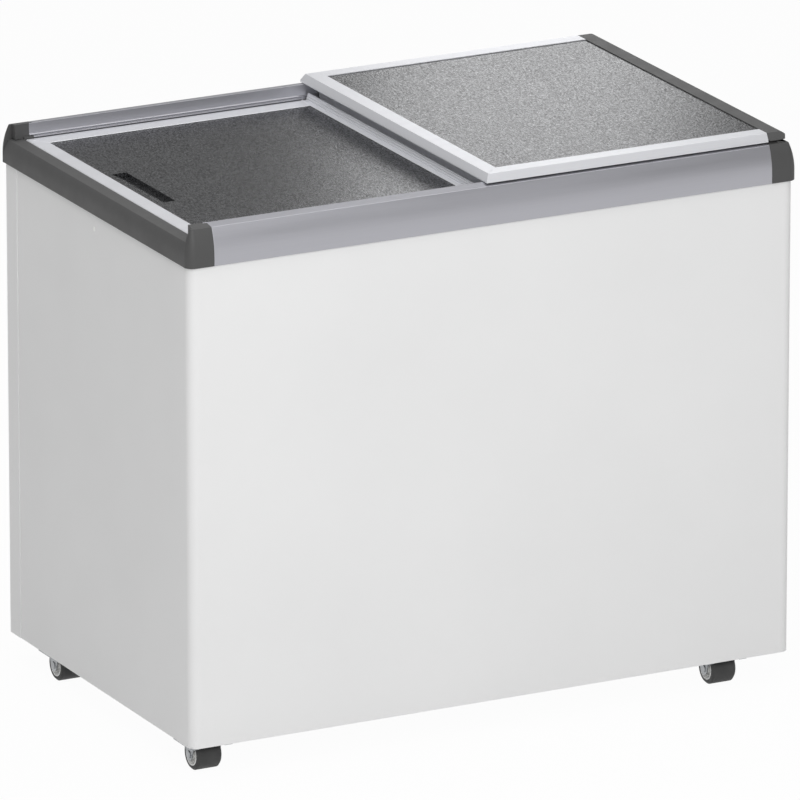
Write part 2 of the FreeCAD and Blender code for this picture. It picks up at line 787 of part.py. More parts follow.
def condenser():
    """Wire-on-tube condenser: one tube back and forth, wires on both of its faces."""
    x0, x1 = condenser_x()
    y = -half_d + condenser_setback
    z0 = base_top + 34
    bend = condenser_pitch / 2
    points = [(x0, y, z0)]
    for i in range(condenser_rows):
        z = z0 + i * condenser_pitch
        right = i % 2 == 0
        edge = x1 + bend if right else x0 - bend
        points += [(edge, y, z), (edge, y, z + condenser_pitch)]
    points = points[:-2] + [(x0, y, z0 + (condenser_rows - 1) * condenser_pitch)]
    tube = tube_path(points, tube_diameter / 2, bend - 0.001)
    wires = []
    offset = (tube_diameter + wire_diameter) / 2
    count = int((x1 - x0) / wire_pitch)
    height = (condenser_rows - 1) * condenser_pitch + 12
    for i in range(count):
        x = x0 + (i + 0.5) * (x1 - x0) / count
        for side in (-1, 1):
            wires.append(wire(x, y + side * offset, z0 - 6, height))
    return [tube] + wires


fan_z = base_top + 34 + (condenser_rows - 1) * condenser_pitch / 2
fan_y = -half_d + fan_setback


def fan_shroud():
    """Plate with an air collar and the four arms that carry the motor."""
    plate = box(machine_x + 18, half_w - 22, fan_y, fan_y + 2, base_top,
                fan_z + fan_radius + fan_tip_gap + 12)
    hole_r = fan_radius + fan_tip_gap
    collar = turned((machine_mid, fan_y, fan_z), (0, 1, 0), (-shroud_depth, hole_r),
                    (-shroud_depth, hole_r + 2),
                    (0, hole_r + 2), (0, hole_r))
    hole = cylinder((machine_mid, fan_y, fan_z), (0, 1, 0), hole_r, 2)
    seat = cylinder((machine_mid, fan_y, fan_z), (0, 1, 0), motor_diameter / 2 + 3, 3)
    arms = []
    for k in range(4):
        arm = box(motor_diameter / 2 - 2, hole_r + 6, 0, 3, -5, 5)
        arm.rotate(V(0, 0, 0), V(0, 1, 0), 45 + 90 * k)
        arm.translate(V(machine_mid, fan_y, fan_z))
        arms.append(arm)
    ring = fuse(plate.cut(hole), collar, seat, *arms)
    shaft_hole = cylinder((machine_mid, fan_y, fan_z), (0, 1, 0), shaft_diameter, 3)
    return ring.cut(shaft_hole)


def fan_motor():
    """Shaded-pole motor with its shaft through the seat."""
    r = motor_diameter / 2
    y0 = 3
    y1 = 3 + motor_length
    return turned((machine_mid, fan_y, fan_z), (0, 1, 0), (-shroud_depth + 2, 0),
                  (-shroud_depth + 2, shaft_diameter / 2),
                  (y0, shaft_diameter / 2), (y0, r), (y1 - 8, r), (y1, r - 10), (y1, 0))


def fan_rotor():
    """Five pitched sheet blades on a hub that turns on the motor's shaft."""
    hub_r = 24.0
    front = -shroud_depth + 4
    back = -2.0
    bore = shaft_diameter / 2 + axle_clearance
    hub = turned((machine_mid, fan_y, fan_z), (0, 1, 0), (front, bore), (front, hub_r - 3),
                 (front + 3, hub_r),
                 (back, hub_r), (back, bore))
    tip = fan_radius - 4
    blades = []
    for k in range(fan_blades):
        blade = outline(lambda a, b: V(a, 0, b), (-7, hub_r - 5),
                        [((-20, tip * 0.6), (-22, tip - 8)), ((-8, tip + 2), (14, tip)),
                         ((22, tip - 10), (18, tip * 0.6)),
                         (7, hub_r - 5)]).extrude(V(0, 1.6, 0))
        blade.rotate(V(0, 0, 0), V(0, 0, 1), 16)
        blade.rotate(V(0, 0, 0), V(0, 1, 0), 360.0 / fan_blades * k)
        blade.translate(V(machine_mid, fan_y + (front + back) / 2 - 0.8, fan_z))
        blades.append(blade)
    return fuse(hub, *blades)


def pipe_lane():
    """X of the tubes that run along the partition."""
    return machine_x + drier_diameter / 2


def drier_place():
    return pipe_lane(), compressor_y + drier_setback, base_top + drier_lift


def refrigerant_lines():
    """Discharge, liquid, capillary and suction tubes between the machine's pieces."""
    r = tube_diameter / 2
    x0 = condenser_x()[0]
    lane = pipe_lane()
    front = -half_d + condenser_setback
    low_row = base_top + 34
    top_row = low_row + (condenser_rows - 1) * condenser_pitch
    shell_z = base_top + grommet_height + compressor_plate + compressor_height * 0.6
    shell_x = machine_mid - compressor_diameter / 2 + 12
    discharge_y = compressor_y - 20
    suction_y = compressor_y + 20
    rear_y = compressor_y + suction_setback
    high = machine_z - 30
    discharge = tube_path([(shell_x, discharge_y, shell_z), (lane, discharge_y, shell_z),
                           (lane, front, shell_z),
                           (lane, front, top_row), (x0, front, top_row)], r, 10)
    dx, dy, dz = drier_place()
    neck = drier_length / 2 + 12
    liquid = tube_path([(x0, front, low_row), (lane, front, low_row), (lane, dy, low_row),
                        (dx, dy, dz - neck)], r, 10)
    capillary = tube_path([(dx, dy, dz + neck), (dx, dy, high), (machine_x, dy, high)], 1.2, 4)
    suction = tube_path([(machine_x, rear_y, high), (lane + 20, rear_y, high),
                         (lane + 20, suction_y, high),
                         (lane + 20, suction_y, shell_z), (shell_x, suction_y, shell_z)], r, 10)
    shell = compressor()
    return [discharge.cut(shell), suction.cut(shell), liquid, capillary]


def filter_drier():
    """Copper drier with necked ends, beside the partition."""
    r = drier_diameter / 2
    neck = tube_diameter / 2
    half = drier_length / 2
    return turned(drier_place(), (0, 0, 1), (-half - 12, 0), (-half - 12, neck), (-half, neck),
                  (-half + 8, r),
                  (half - 8, r), (half, neck), (half + 12, 2), (half + 12, 0))


def knob_place():
    return grille_y + grille_length / 2 - knob_inset, z_body + grille_sill + grille_height - knob_inset


def machine_grille():
    """Louvred cover in the right side, with a dished seat for the control knob."""
    y0 = grille_y - grille_length / 2
    y1 = grille_y + grille_length / 2
    z0 = z_body + grille_sill
    z1 = z0 + grille_height
    face = half_w - sheet
    out = face + grille_lip
    back = face - grille_depth
    rim = grille_rim
    m = grille_margin
    split = y1 - 2 * knob_inset
    flange = box(face, out, y0 - m, y1 + m, z0 - m, z1 + m)
    body = box(back, face, y0, y1, z0, z1)
    window = box(back - 1, out + 1, y0 + rim, split, z0 + rim, z1 - rim)
    ky, kz = knob_place()
    seat_r = knob_diameter / 2 + knob_rim
    hollow = box(back - 1, face, split + knob_wall, y1 - knob_wall, z0 + knob_wall,
                 kz - seat_r - knob_wall)
    seat = turned((out, ky, kz), (-1, 0, 0), (0, 0), (0, seat_r), (knob_recess, seat_r - 5),
                  (knob_recess, 0))
    spindle = cylinder((out, ky, kz), (-1, 0, 0), 4, 30)
    frame = fuse(flange, body).cut([window, hollow, seat, spindle])
    louvres = []
    pitch = (z1 - z0 - 2 * rim) / louvre_count
    for i in range(louvre_count):
        z = z0 + rim + (i + 0.5) * pitch + louvre_drop / 2
        low = z - louvre_drop
        louvres.append(along_y(y0 + rim - 1, split + 1, (back, z), (back, z + louvre_thickness),
                               (out, low + louvre_thickness), (out, low)))
    return fuse(frame, *louvres)


def knob_floor():
    """X of the knob's inner face, just off the floor of its seat."""
    return half_w - sheet + grille_lip - knob_recess + knob_gap


def control_knob():
    """Round knob with a bar grip, sunk in its seat, on the control's spindle."""
    ky, kz = knob_place()
    floor_x = knob_floor()
    r = knob_diameter / 2
    disc = turned((floor_x, ky, kz), (1, 0, 0), (0, 0), (0, r), (2.5, r), (3.5, r - 1), (3.5, 0))
    grip = box(floor_x + 3, floor_x + knob_height, ky - 3.5, ky + 3.5, kz - r + 2, kz + r - 2)
    grip = grip.makeFillet(1.2, [e for e in grip.Edges if abs(e.BoundBox.XLength) < 0.1
                                 and e.BoundBox.XMin > floor_x + knob_height - 0.1])
    hole = cylinder((floor_x, ky, kz), (1, 0, 0), 3 + axle_clearance, 6)
    return fuse(disc, grip).cut(hole)


def thermostat():
    """Control behind the grille, with the spindle that carries the knob."""
    ky, kz = knob_place()
    back = half_w - 14
    body = box(back - 34, back, ky - 24, ky + 24, kz - 20, kz + 20)
    spindle = cylinder((back - 1, ky, kz), (1, 0, 0), 3, knob_floor() + 5.5 - back + 1)
    return fuse(body, spindle)


def power_gland():
    """Cable gland in the rear panel: flange outside, nut inside, open bore."""
    r = gland_diameter / 2
    bore = gland_bore / 2
    inner = r - 3
    return turned((gland_x, half_d, gland_z), (0, 1, 0), (-gland_depth, bore), (-gland_depth, inner),
                  (-sheet - 5, inner),
                  (-sheet - 5, r),
                  (-sheet, r), (-sheet, inner), (0, inner), (0, r), (1.5, r), (3, r - 2.5), (3, bore))


def screws():
    """Countersunk screws of the grille, and pan heads under the caster flanges."""
    heads = []
    y0 = grille_y - grille_length / 2
    y1 = grille_y + grille_length / 2
    z0 = z_body + grille_sill
    out = half_w - sheet + grille_lip
    for y in (y0 + screw_inset, y1 - screw_inset):
        for z in (z0 + screw_inset, z0 + grille_height - screw_inset):
            heads.append(turned((out, y, z), (1, 0, 0), (0, 0), (0, screw_radius),
                                (screw_crown, screw_crown_radius), (screw_crown, 0)))
    reach = wheel_width / 2 + bracket_gap + bracket_sheet + bracket_flange / 2
    low = z_body - bracket_sheet
    for x, y in caster_places().values():
        for sx in (-1, 1):
            for sy in (-1, 1):
                heads.append(turned((x + sx * reach, y + sy * wheel_r * 0.8, low), (0, 0, 1),
                                    (-pan_head_height, 0), (-pan_head_height, screw_radius),
                                    (0, pan_head_radius), (0, 0)))
    return heads


# ------------------------------------------------------------ lids
def buffers():
    """Rubber pads on the end rails that the lower lid runs up against."""
    pads = []
    z = (lower_top + lower_bottom) / 2
    for y in (-buffer_spread, buffer_spread):
        pads.append(turned((-end_x, y, z), (1, 0, 0), (0, 0), (0, 6), (0.6, 5.4), (0.6, 0)))
    return pads + [mirror_x(pad) for pad in pads]


meeting_x0 = upper_left + lid_overlap - meeting_width
meeting_x1 = upper_left + lid_overlap


def lower_channel(face):
    """Half of the lower lid's frame section: (distance in, height over its underside)."""
    w = frame_wall
    h = lid_thickness
    return (0, 0), [(face, 0), (face, w), (w + 0.5, w), (w + 0.5, h - w), (face, h - w), (face, h),
                    (1.5, h), (0, h - 1.5)]


def lower_lid_left():
    start, points = lower_channel(lower_side_face)
    place = lambda d, z: (-lower_x + d, lower_bottom + z)
    bar = along_y(-lower_y, lower_y, *shifted(start, points, place))
    mitre = along_z(lower_bottom, lower_top, (-lower_x, -lower_y),
                    (-lower_x + lower_side_face, -lower_y + lower_long_face),
                    (-lower_x + lower_side_face, lower_y - lower_long_face), (-lower_x, lower_y))
    return bar.common(mitre)


def lower_lid_front():
    start, points = lower_channel(lower_long_face)
    place = lambda d, z: (-lower_y + d, lower_bottom + z)
    bar = along_x(-lower_x, meeting_x0, *shifted(start, points, place))
    mitre = along_z(lower_bottom, lower_top, (-lower_x, -lower_y),
                    (-lower_x + lower_side_face, -lower_y + lower_long_face),
                    (meeting_x0, -lower_y + lower_long_face), (meeting_x0, -lower_y))
    return bar.common(mitre)


def lower_lid_meeting():
    """Wide profile at the lower lid's right edge: grooved band, stepped rib and sealing upstand."""
    x0 = meeting_x0
    x1 = meeting_x1
    t = lower_top
    b = lower_bottom
    up = t + upstand_height
    y = lower_y
    web = x0 + 9
    points = [(x0 + 1.5, t), (x0 + 1.5, t + 1), (x0 + 3, t + 1), (x0 + 3, t)]
    for i in range(2):
        g = x0 + 4.5 + 2.4 * i
        points += [(g, t), (g, t - 1), (g + 1.2, t - 1), (g + 1.2, t)]
    rib_x = x0 + rib_start
    rise = rib_height / rib_steps
    for i in range(rib_steps):
        step_x0 = rib_x + i * rib_step_width
        points += [(step_x0, t + i * rise), (step_x0, t + (i + 1) * rise)]
    rib_x1 = rib_x + (rib_steps + 1) * rib_step_width
    points += [(rib_x1, t + rib_height), (rib_x1, t - 2), (x0 + 32, t - 2), (x0 + 32, up),
               (x0 + 33.5, up),
               (x0 + 33.5, t - 2), (x1, t - 2), (x1, b), (x0, b), (x0, b + frame_wall),
               (web, b + frame_wall), (web, t - frame_wall), (x0, t - frame_wall)]
    bar = along_y(-y, y, (x0, t), *points)
    room = box(web + 2, x1 - 2, -y, y, b + 2, t - 4)
    return bar.cut(room)


def recess(grow):
    """Wedge pressed into the sheet: it falls to the right and ends in a wall to pull on."""
    x0 = -lower_x + lower_side_face + recess_from_frame
    x1 = x0 + recess_width
    t = lower_top - frame_wall
    y0 = recess_y - recess_length / 2
    y1 = recess_y + recess_length / 2
    return along_y(y0 - grow, y1 + grow, (x0 - grow, t), (x0 - grow, t - grow),
                   (x1 - 5 - grow, t - recess_depth - grow),
                   (x1 + grow, t - recess_depth - grow), (x1 + grow, t))


def lower_lid_block(z0, z1):
    return box(-lower_x + frame_wall + 0.5, meeting_x0 + 9, -lower_y + frame_wall + 0.5,
               lower_y - frame_wall - 0.5, z0, z1)


def lower_lid_sheets():
    top = lower_top - frame_wall
    low = lower_bottom + frame_wall
    upper = lower_lid_block(top - lid_skin, top)
    pressed = recess(lid_skin).cut(recess(0))
    return [fuse(upper.cut(recess(0)), pressed), lower_lid_block(low, low + lid_skin)]


def lower_lid_core():
    z0 = lower_bottom + frame_wall + lid_skin
    z1 = lower_top - frame_wall - lid_skin
    return lower_lid_block(z0, z1).cut(recess(lid_skin))


def lower_lid_glides():
    y0 = lower_y - 14
    strip = box(-lower_x + 8, meeting_x1 - 8, -y0, -y0 + glide_width, z_seat + glide_clearance,
                lower_bottom)
    return [strip, mirror_y(strip)]


def upper_section(web_x):
    """Upper frame section: a hollow bevelled flange over the rail and a channel inside it."""
    w = frame_wall
    h = upper_rise
    low = -(lid_thickness - upper_rise)
    face = upper_bevel + upper_face
    return (0, -upper_lip_height), [(0, w), (upper_bevel, h), (face, h), (face, h - w),
                                    (web_x + w, h - w),
                             (web_x + w, low + w), (face, low + w), (face, low), (web_x, low), (web_x, 0),
                             (upper_lip_width, 0), (upper_lip_width, -upper_lip_height)]


def upper_room(web_x):
    w = frame_wall
    h = upper_rise
    return [(w + 1, w), (upper_bevel + 0.6, h - w), (web_x - 0.5, h - w), (web_x - 0.5, w)]


upper_web = upper_y - track_y + upper_web_gap
frame_end_x = upper_right - handle_width


def upper_lid_front():
    start, points = upper_section(upper_web)
    place = lambda d, z: (-upper_y + d, upper_bottom + z)
    bar = along_x(upper_left, frame_end_x, *shifted(start, points, place))
    room = upper_room(upper_web)
    bar = bar.cut(along_x(upper_left, frame_end_x, *shifted(room[0], room[1:], place)))
    z0 = upper_bottom - lid_thickness
    far = upper_bevel + upper_face
    keep = along_z(z0, upper_top, (upper_left, -upper_y), (upper_left + far, -upper_y + far),
                   (frame_end_x, -upper_y + far), (frame_end_x, -upper_y))
    return bar.common(keep)


def upper_lid_left():
    """Left frame of the upper lid, which hangs over the lower lid's rib."""
    start, points = upper_section(upper_web)
    place = lambda d, z: (upper_left + d, upper_bottom + z)
    bar = along_y(-upper_y, upper_y, *shifted(start, points, place))
    room = upper_room(upper_web)
    bar = bar.cut(along_y(-upper_y, upper_y, *shifted(room[0], room[1:], place)))
    far = upper_bevel + upper_face
    z0 = upper_bottom - lid_thickness
    keep = along_z(z0, upper_top, (upper_left, -upper_y), (upper_left + far, -upper_y + far),
                   (upper_left + far, upper_y - far), (upper_left, upper_y))
    return bar.common(keep)


def upper_lid_handle():
    """Dark end profile: a rounded lip to pull on, with a channel that holds the panel."""
    x1 = upper_right
    x0 = x1 - handle_width
    r = handle_radius
    k = r * (1 - math.sqrt(0.5))
    t = upper_top
    b = upper_bottom
    low = upper_top - lid_thickness
    drop = b - upper_lip_height
    lip = along_y(-upper_y, upper_y, (x0, t), (x1 - r, t), ((x1 - k - 0.6, t - k + 0.4), (x1, b + 1)),
                  (x1, drop),
                  (x1 - upper_lip_width, drop), (x1 - upper_lip_width, b), (x0 + 3, b), (x0, b + 3))
    y = track_y - track_clearance
    web = box(x0, x0 + 2, -y, y, low, t)
    inner = upper_y - upper_bevel - upper_face
    shelf = box(x0 - 10, x0 + 2, -inner, inner, low, low + frame_wall)
    c = handle_corner
    bow = c * (1 - math.sqrt(0.5))
    plan = along_z(low, t, (x0 - 11, -upper_y), (x1 - c, -upper_y),
                   ((x1 - bow, -upper_y + bow), (x1, -upper_y + c)),
                   (x1, upper_y - c), ((x1 - bow, upper_y - bow), (x1 - c, upper_y)), (x0 - 11, upper_y))
    bevels = []
    for side in (-1, 1):
        bevels.append(along_x(x0 - 1, x1 + 1, (side * (upper_y + 1), b + frame_wall),
                              (side * upper_y, b + frame_wall), (side * (upper_y - upper_bevel), t),
                              (side * (upper_y - upper_bevel), t + 1), (side * (upper_y + 1), t + 1)))
    return fuse(lip, web, shelf).common(plan).cut(bevels)


def upper_lid_block(z0, z1):
    x0 = upper_left + upper_web + frame_wall
    x1 = upper_right - handle_width
    y = upper_y - upper_web - frame_wall
    return box(x0, x1, -y, y, z0, z1)


def upper_lid_sheets():
    top = upper_top - frame_wall
    low = upper_top - lid_thickness + frame_wall
    return [upper_lid_block(top - lid_skin, top), upper_lid_block(low, low + lid_skin)]


def upper_lid_core():
    return upper_lid_block(upper_top - lid_thickness + frame_wall + lid_skin,
                           upper_top - frame_wall - lid_skin)


def upper_lid_glides():
    y0 = track_y + 1
    strip = box(upper_left + 12, upper_right - 20, -y0 - glide_width, -y0, z_top + glide_clearance,
                upper_bottom)
    return [strip, mirror_y(strip)]


# ------------------------------------------------------------ write the nodes
save("front_panel", wrap_panel(-1, front_return))
save("rear_panel", rear_panel())
save("left_side_panel", side_panel().cut(plug_hole(plug_diameter / 2)))
save("right_side_panel", mirror_x(side_panel()).cut(grille_window(0)))
save("base_plate", base_plate())
save("machine_tray", machine_tray())
save("partition", partition())
save("insulation_foam", insulation_foam())
save("inner_liner", inner_liner())
save("drain_tube", drain_tube())
save("drain_plug", drain_plug())
save("evaporator_coil", evaporator_coil())
save("inner_frame", *inner_frame())
save("side_plug", side_plug())

rail = front_rail()
save("front_rail", rail)
save("rear_rail", mirror_y(rail))
save("left_end_rail", end_rail())
save("right_end_rail", tall_end_rail())
cap = corner_cap()
right_cap = corner_cap().cut(mirror_x(tall_end_rail()))
save("front_left_cap", cap)
save("front_right_cap", mirror_x(right_cap))
save("rear_left_cap", mirror_y(cap))
save("rear_right_cap", mirror_x(mirror_y(right_cap)))
save("lid_buffers", *buffers())

brackets = []
for place_name, (caster_x, caster_y) in caster_places().items():
    brackets += caster_bracket(caster_x, caster_y)
    save(place_name + "_tyre", caster_tyre(caster_x, caster_y))
    save(place_name + "_hub", caster_hub(caster_x, caster_y))
save("caster_brackets", *brackets)
save("screws", *screws())

save("compressor", compressor())
save("compressor_grommets", *grommets())
save("terminal_box", terminal_box())
save("condenser", *condenser())
save("fan_shroud", fan_shroud())
save("fan_motor", fan_motor())
save("fan_rotor", fan_rotor())
save("refrigerant_lines", *refrigerant_lines())
save("filter_drier", filter_drier())
save("machine_grille", machine_grille())
save("control_knob", control_knob())
save("thermostat", thermostat())
save("power_gland", power_gland())

save("lower_lid_left_frame", lower_lid_left())
save("lower_lid_front_frame", lower_lid_front())
save("lower_lid_rear_frame", mirror_y(lower_lid_front()))
save("lower_lid_meeting_rail", lower_lid_meeting())
save("lower_lid_sheets", *lower_lid_sheets())
save("lower_lid_core", lower_lid_core())
save("lower_lid_glides", *lower_lid_glides())
save("upper_lid_left_frame", upper_lid_left())
save("upper_lid_front_frame", upper_lid_front())
save("upper_lid_rear_frame", mirror_y(upper_lid_front()))
save("upper_lid_handle", upper_lid_handle())
save("upper_lid_sheets", *upper_lid_sheets())
save("upper_lid_core", upper_lid_core())
save("upper_lid_glides", *upper_lid_glides())
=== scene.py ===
"""Looks, lights and camera for the ice cream chest cabinet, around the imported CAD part."""
import json
import math

import bpy
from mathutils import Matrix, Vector

MM = 0.001

# ------------------------------------------------------------ camera values
VIEW_TURN = math.radians(-27.176)
VIEW_RISE = math.radians(17.488)
VIEW_DISTANCE = 19.467
VIEW_REACH = 200.0
LOOK_AT = Vector((0.0042, 0.0, 0.4358))
LENS_MM = 565.0
SENSOR_MM = 36.0

# ------------------------------------------------------------ light and floor values
SKY_GREY = 0.30
KEY_LIGHT = dict(place=(-1.2, -3.4, 2.4), aim=(0, 0, 0.5), width=4.2, height=3.0, watts=91)
TOP_LIGHT = dict(place=(0.0, 0.2, 3.6), aim=(0, 0, 0.8), width=4.0, height=3.4, watts=76)
BACK_LIGHT = dict(place=(1.36, 2.15, 1.6), aim=(0.2, 0, 0.86), width=0.6, height=0.6, watts=2.1)

FLOOR_SIZE = 120.0
FLOOR_DROP = 0.2 * MM              # keeps the floor clear of the tyres
FLOOR_WHITE = 0.70
FLOOR_ROUGHNESS = 0.9
FLOOR_GLOW = 0.965                 # share of white where the camera or a mirror sees the floor

# ------------------------------------------------------------ surface values
LEAST_ROUGHNESS = 0.02
NOISE_LOW = 0.3                    # most of a noise texture's values lie between these two
NOISE_HIGH = 0.7
DRAWN_ALONG_X = (0.006, 1, 1)
WORN_ALONG_X = (0.05, 1, 1)
LONG_IN_Y = (1, 0.5, 1)
PEBBLE_SCALE = 520.0
PEBBLE_DEPTH = 0.19 * MM
LUMP_SCALE = 600.0
LUMP_DEPTH = 0.12 * MM

SOFT_EDGE = 0.8 * MM
SOFT_SEGMENTS = 2
SOFT_WELD = 0.01 * MM
SOFT_ANGLE = math.radians(35)
FLAT_ANGLE = math.radians(0.2)
SOFT_SLOTS = ("rail_aluminium", "frame_aluminium", "cap_plastic", "grey_plastic")


# ------------------------------------------------------------ colours
def linear(*srgb):
    """Linear colour from sRGB values of 0 to 255; a single value makes a grey."""
    if len(srgb) == 1:
        srgb = srgb * 3
    values = [v / 255 for v in srgb]
    return [v / 12.92 if v <= 0.04045 else ((v + 0.055) / 1.055) ** 2.4 for v in values] + [1.0]


def shade(colour, factor):
    """The colour made lighter or darker, up to white."""
    return [min(1.0, c * factor) for c in colour[:3]] + [1.0]


# ------------------------------------------------------------ material helpers
class Finish:
    """A Principled material whose colour, roughness and relief come from procedural nodes."""

    def __init__(self, name, colour, roughness, metallic=0.0, specular=0.5):
        self.material = bpy.data.materials.new(name)
        self.material.use_nodes = True
        self.nodes = self.material.node_tree.nodes
        self.links = self.material.node_tree.links
        self.shader = self.nodes["Principled BSDF"]
        self.set("Base Color", colour)
        self.set("Roughness", roughness)
        self.set("Metallic", metallic)
        self.set("Specular IOR Level", specular)
        self.colour = colour
        self.roughness = roughness
        self.relief = None

    def set(self, socket, value):
        self.shader.inputs[socket].default_value = value

    def place(self, stretch):
        """Object coordinates in metres, stretched along the axes."""
        source = self.nodes.new("ShaderNodeTexCoord")
        mapping = self.nodes.new("ShaderNodeMapping")
        mapping.inputs["Scale"].default_value = stretch
        self.links.new(source.outputs["Object"], mapping.inputs["Vector"])
        return mapping.outputs["Vector"]

    def noise(self, scale, detail, stretch=(1, 1, 1), rough=0.5):
        """Cloudy noise; the scale counts its lumps in a metre."""
        texture = self.nodes.new("ShaderNodeTexNoise")
        texture.inputs["Scale"].default_value = scale
        texture.inputs["Detail"].default_value = detail
        texture.inputs["Roughness"].default_value = rough
        self.links.new(self.place(stretch), texture.inputs["Vector"])
        return texture.outputs["Fac"]

    def cells(self, scale, stretch=(1, 1, 1), feature="F1"):
        """Distance from the middle of irregular cells; the scale counts them in a metre."""
        texture = self.nodes.new("ShaderNodeTexVoronoi")
        texture.feature = feature
        texture.inputs["Scale"].default_value = scale
        self.links.new(self.place(stretch), texture.inputs["Vector"])
        return texture.outputs["Distance"]

    def ramp(self, value, low, high, out_low, out_high):
        """Value mapped from low..high onto out_low..out_high."""
        node = self.nodes.new("ShaderNodeMapRange")
        node.inputs["From Min"].default_value = low
        node.inputs["From Max"].default_value = high
        node.inputs["To Min"].default_value = out_low
        node.inputs["To Max"].default_value = out_high
        self.links.new(value, node.inputs["Value"])
        return node.outputs["Result"]

    def tint(self, pattern, low, high, share, colour):
        """Mixes in up to a share of another colour, as the pattern goes from low to high."""
        node = self.nodes.new("ShaderNodeMix")
        node.data_type = "RGBA"
        node.inputs["A"].default_value = self.colour
        node.inputs["B"].default_value = colour
        self.links.new(self.ramp(pattern, low, high, 0.0, share), node.inputs["Factor"])
        self.links.new(node.outputs["Result"], self.shader.inputs["Base Color"])

    def vary_roughness(self, pattern, spread):
        """Lets the roughness wander by the spread to either side."""
        low = max(LEAST_ROUGHNESS, self.roughness - spread)
        high = min(1.0, self.roughness + spread)
        result = self.ramp(pattern, NOISE_LOW, NOISE_HIGH, low, high)
        self.links.new(result, self.shader.inputs["Roughness"])

    def bump(self, height, depth, strength):
        """Relief of a given depth in metres, on top of any relief there is."""
        node = self.nodes.new("ShaderNodeBump")
        node.inputs["Distance"].default_value = depth
        node.inputs["Strength"].default_value = strength
        self.links.new(height, node.inputs["Height"])
        if self.relief is not None:
            self.links.new(self.relief, node.inputs["Normal"])
        self.relief = node.outputs["Normal"]
        self.links.new(self.relief, self.shader.inputs["Normal"])


# ------------------------------------------------------------ materials
def white_paint():
    """Powder-coated sheet with a faint orange peel."""
    f = Finish("white_paint", linear(238), 0.34)
    f.tint(f.noise(3.0, 4), 0.35, 0.7, share=0.5, colour=linear(232))
    f.vary_roughness(f.noise(14.0, 4), 0.05)
    f.bump(f.noise(420.0, 2), 0.06 * MM, 0.35)
    return f.material


def extruded_aluminium(name, colour, roughness, metallic):
    """Anodised profile with fine drawing lines along X and a soft satin."""
    f = Finish(name, colour, roughness, metallic)
    lines = f.noise(900.0, 3, stretch=DRAWN_ALONG_X, rough=0.6)
    f.tint(lines, NOISE_LOW, NOISE_HIGH, share=0.25, colour=shade(colour, 0.86))
    f.vary_roughness(f.noise(60.0, 3, stretch=WORN_ALONG_X), 0.04)
    f.bump(lines, 0.01 * MM, 0.3)
    return f.material


def embossed_aluminium():
    """Stucco-embossed sheet: fine irregular pebbles, made uneven by lumps of about their size."""
    f = Finish("embossed_aluminium", linear(140, 141, 143), 0.27, metallic=0.95)
    pebbles = f.cells(PEBBLE_SCALE, stretch=LONG_IN_Y, feature="SMOOTH_F1")
    lumps = f.noise(LUMP_SCALE, 2, stretch=LONG_IN_Y, rough=0.6)
    f.tint(pebbles, 0.2, 0.6, share=1.0, colour=linear(62, 62, 64))
    f.vary_roughness(lumps, 0.08)
    f.bump(pebbles, PEBBLE_DEPTH, 1.0)
    f.bump(lumps, LUMP_DEPTH, 0.8)
    return f.material


def plastic(name, colour, roughness, specular=0.3, grain=0.05):
    """Moulded plastic with a faint spark-eroded grain, whose depth is in millimetres."""
    f = Finish(name, colour, roughness, specular=specular)
    f.tint(f.noise(9.0, 4), 0.4, 0.7, share=0.35, colour=shade(colour, 1.12))
    f.vary_roughness(f.noise(30.0, 3), 0.06)
    f.bump(f.noise(1400.0, 2), grain * MM, 0.5)
    return f.material


def rubber():
    """Matt black rubber, a little dusty."""
    f = Finish("black_rubber", linear(52), 0.62)
    f.tint(f.noise(40.0, 4), 0.45, 0.7, share=0.5, colour=linear(74))
    f.vary_roughness(f.noise(80.0, 3), 0.1)
    f.bump(f.noise(900.0, 3), 0.08 * MM, 0.5)
    return f.material


def foam():
    """Yellowish insulating foam with open cells."""
    f = Finish("foam", linear(226, 205, 150), 0.9)
    f.tint(f.noise(60.0, 5), 0.4, 0.7, share=0.6, colour=linear(205, 178, 120))
    f.bump(f.cells(260.0), 0.8 * MM, 0.6)
    return f.material


def galvanised():
    """Zinc-coated sheet with its spangle."""
    f = Finish("galvanised", linear(178, 180, 182), 0.42, metallic=0.9)
    f.tint(f.cells(60.0), 0.2, 0.8, share=0.6, colour=linear(150, 153, 156))
    f.vary_roughness(f.noise(50.0, 3), 0.1)
    f.bump(f.noise(300.0, 2), 0.05 * MM, 0.3)
    return f.material


def painted(name, colour, roughness):
    """Stoved paint with lighter patches and a fine ripple."""
    f = Finish(name, colour, roughness)
    f.tint(f.noise(25.0, 4), 0.4, 0.7, share=0.3, colour=shade(colour, 1.3))
    f.vary_roughness(f.noise(40.0, 3), 0.08)
    f.bump(f.noise(350.0, 2), 0.08 * MM, 0.4)
    return f.material


def copper():
    """Bare copper tube, browned in patches."""
    f = Finish("copper", linear(214, 142, 104), 0.32, metallic=1.0)
    f.tint(f.noise(35.0, 4), 0.4, 0.7, share=0.6, colour=linear(168, 98, 68))
    f.vary_roughness(f.noise(60.0, 3), 0.12)
    f.bump(f.noise(500.0, 2), 0.04 * MM, 0.3)
    return f.material


def motor_metal():
    """Plain turned and pressed steel."""
    f = Finish("motor_metal", linear(150), 0.38, metallic=0.9)
    f.tint(f.noise(70.0, 4), 0.4, 0.7, share=0.5, colour=linear(122))
    f.vary_roughness(f.noise(60.0, 3), 0.1)
    f.bump(f.noise(600.0, 2), 0.05 * MM, 0.3)
    return f.material


